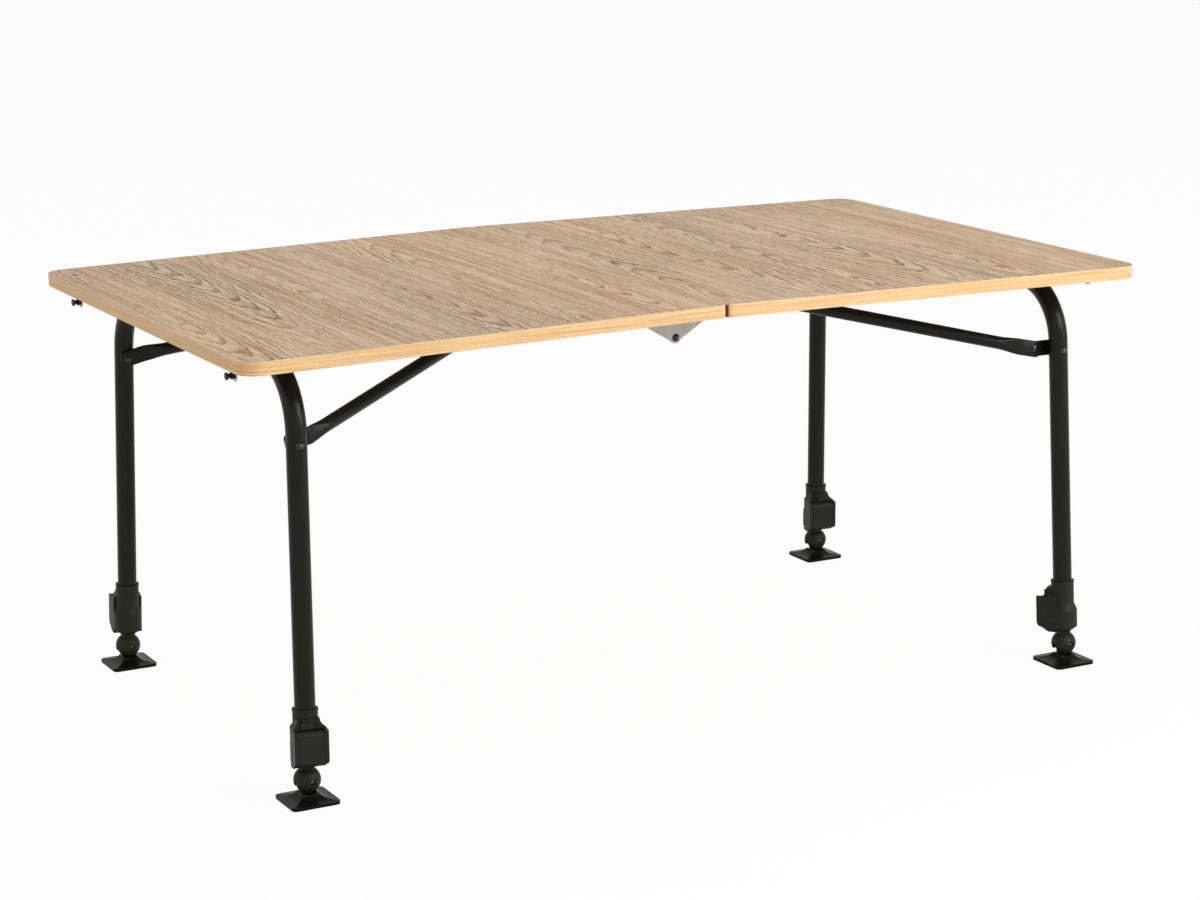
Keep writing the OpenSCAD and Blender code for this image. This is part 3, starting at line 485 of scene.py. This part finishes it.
def drill(piece, x, y, radius):
    """Round hole along Y through a piece, at x and y in its own frame."""
    edit = bmesh.new()
    turn = Matrix.Rotation(math.pi / 2, 4, "X")
    bmesh.ops.create_cone(
        edit, cap_ends=True, segments=40, radius1=radius, radius2=radius, depth=12.0,
        matrix=Matrix.Translation((x, y, 0.0)) @ turn,
    )
    mesh = bpy.data.meshes.new("drill")
    edit.to_mesh(mesh)
    edit.free()
    cutter = bpy.data.objects.new("drill", mesh)
    bpy.context.collection.objects.link(cutter)
    change = piece.modifiers.new("hole", "BOOLEAN")
    change.operation = "DIFFERENCE"
    change.solver = "EXACT"
    change.object = cutter
    bpy.context.view_layer.update()
    changed = piece.evaluated_get(bpy.context.evaluated_depsgraph_get())
    done = bpy.data.meshes.new_from_object(changed)
    piece.modifiers.clear()
    piece.data = done
    bpy.data.objects.remove(cutter)


def make_stay(side, row):
    """One stay: side -1 is left and 1 is right, row -1 is front and 1 is rear."""
    rivet_x, rivet_z, left_y, right_y, rise = stay_places()
    word = "left" if side < 0 else "right"
    end = "front" if row < 0 else "rear"
    node = f"{end}_stay_{word}"
    y0 = left_y if side < 0 else right_y
    name = f"pressed_{node}"
    piece = bpy.data.objects.new(name, stay_mesh(name, y0, ROD_END_Y))
    bpy.context.collection.objects.link(piece)
    drill(piece, 0.0, y0, RIVET_R + PIN_GAP)
    drill(piece, STAY_LEN, ROD_END_Y, ROD_R + PIN_GAP)
    x = rivet_x if side < 0 else rivet_x - LINK_LEN
    place = Matrix.Translation((0.0, 0.0, TOP_Z * 1000))
    if side < 0:
        place = place @ Matrix.Scale(-1, 4, (1, 0, 0))
    place = place @ Matrix.Rotation(math.radians(CROWN), 4, "Y")
    if row < 0:
        place = place @ Matrix.Scale(-1, 4, (0, 1, 0))
    place = place @ Matrix.Translation((x, 0.0, rivet_z))
    place = place @ Matrix.Rotation(math.radians(180 + rise), 4, "Y")
    mesh = piece.data
    mesh.transform(Matrix.Scale(0.001, 4) @ place)
    if side * row < 0:
        mesh.flip_normals()
    mesh.polygons.foreach_set("use_smooth", [True] * len(mesh.polygons))
    mesh.set_sharp_from_angle(angle=math.radians(38))
    mesh.materials.clear()
    mesh.materials.append(TUBE)
    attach(piece, f"stay_{word}")
    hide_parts(node)


for stay_side in (-1, 1):
    for stay_row in (-1, 1):
        make_stay(stay_side, stay_row)


# Floor, light and camera
def camera_rays_only(tree):
    """1 for what the camera sees, straight or through gloss or glass, 0 for light."""
    path = tree.nodes.new("ShaderNodeLightPath")
    total = None
    for ray in ("Is Camera Ray", "Is Glossy Ray", "Is Transmission Ray"):
        if total is None:
            total = path.outputs[ray]
        else:
            add = tree.nodes.new("ShaderNodeMath")
            add.operation = "MAXIMUM"
            tree.links.new(total, add.inputs[0])
            tree.links.new(path.outputs[ray], add.inputs[1])
            total = add.outputs[0]
    return total


def make_floor():
    """White floor that keeps the table's shadow."""
    size = FLOOR_HALF_SIZE
    corners = [(-size, -size, 0), (size, -size, 0), (size, size, 0), (-size, size, 0)]
    mesh = bpy.data.meshes.new("studio_floor")
    mesh.from_pydata(corners, [], [(0, 1, 2, 3)])
    floor = bpy.data.objects.new("studio_floor", mesh)
    bpy.context.collection.objects.link(floor)
    mat = bpy.data.materials.new("studio_white")
    mat.use_nodes = True
    tree = mat.node_tree
    tree.nodes.clear()
    out = tree.nodes.new("ShaderNodeOutputMaterial")
    blend = tree.nodes.new("ShaderNodeMixShader")
    diffuse = tree.nodes.new("ShaderNodeBsdfDiffuse")
    diffuse.inputs[0].default_value = (FLOOR_WHITE, FLOOR_WHITE, FLOOR_WHITE, 1.0)
    glow = tree.nodes.new("ShaderNodeEmission")
    glow.inputs[0].default_value = (1.0, 1.0, 1.0, 1.0)
    share = tree.nodes.new("ShaderNodeMath")
    share.operation = "MULTIPLY"
    share.inputs[1].default_value = FLOOR_GLOW
    tree.links.new(camera_rays_only(tree), share.inputs[0])
    tree.links.new(share.outputs[0], blend.inputs[0])
    tree.links.new(diffuse.outputs[0], blend.inputs[1])
    tree.links.new(glow.outputs[0], blend.inputs[2])
    tree.links.new(blend.outputs[0], out.inputs[0])
    mesh.materials.append(mat)


def make_world():
    """White to the camera, and a weaker even light on the table."""
    world = bpy.data.worlds.new("studio")
    bpy.context.scene.world = world
    world.use_nodes = True
    tree = world.node_tree
    tree.nodes.clear()
    out = tree.nodes.new("ShaderNodeOutputWorld")
    seen = tree.nodes.new("ShaderNodeBackground")
    lit = tree.nodes.new("ShaderNodeBackground")
    seen.inputs[0].default_value = (1.0, 1.0, 1.0, 1.0)
    lit.inputs[0].default_value = (1.0, 1.0, 1.0, 1.0)
    lit.inputs[1].default_value = WORLD_LEVEL
    blend = tree.nodes.new("ShaderNodeMixShader")
    tree.links.new(camera_rays_only(tree), blend.inputs[0])
    tree.links.new(lit.outputs[0], blend.inputs[1])
    tree.links.new(seen.outputs[0], blend.inputs[2])
    tree.links.new(blend.outputs[0], out.inputs[0])


def area_light(name, place, target, size, power):
    """Rectangular lamp at a place, turned to a target."""
    data = bpy.data.lights.new(name, "AREA")
    data.shape = "RECTANGLE"
    data.size, data.size_y = size
    data.energy = power
    lamp = bpy.data.objects.new(name, data)
    bpy.context.collection.objects.link(lamp)
    lamp.location = place
    lamp.rotation_mode = "QUATERNION"
    lamp.rotation_quaternion = (Vector(target) - Vector(place)).to_track_quat("-Z", "Y")


def make_camera():
    """Camera found from the photo's vanishing lines and the table's own corners."""
    turn, pitch, roll = CAMERA_TURN, CAMERA_PITCH, CAMERA_ROLL
    level = math.cos(pitch)
    ahead = Vector((math.sin(turn) * level, math.cos(turn) * level, -math.sin(pitch)))
    right = Vector((math.cos(turn), -math.sin(turn), 0.0))
    up = right.cross(ahead)
    right_r = right * math.cos(roll) + up * math.sin(roll)
    up_r = up * math.cos(roll) - right * math.sin(roll)
    data = bpy.data.cameras.new("camera")
    data.sensor_width = 36.0
    data.lens = FOCAL_PIXELS / PHOTO_WIDTH * data.sensor_width
    data.shift_x = SHIFT_PIXELS[0] / PHOTO_WIDTH
    data.shift_y = SHIFT_PIXELS[1] / PHOTO_WIDTH
    data.clip_end = 60.0
    cam = bpy.data.objects.new("camera", data)
    bpy.context.collection.objects.link(cam)
    turn_matrix = Matrix((right_r, up_r, -ahead)).transposed().to_4x4()
    cam.matrix_world = Matrix.Translation(CAMERA_PLACE) @ turn_matrix
    bpy.context.scene.camera = cam


make_floor()
make_world()
for lamp_values in LAMPS:
    area_light(*lamp_values)
make_camera()

bpy.context.scene.view_settings.view_transform = "Standard"
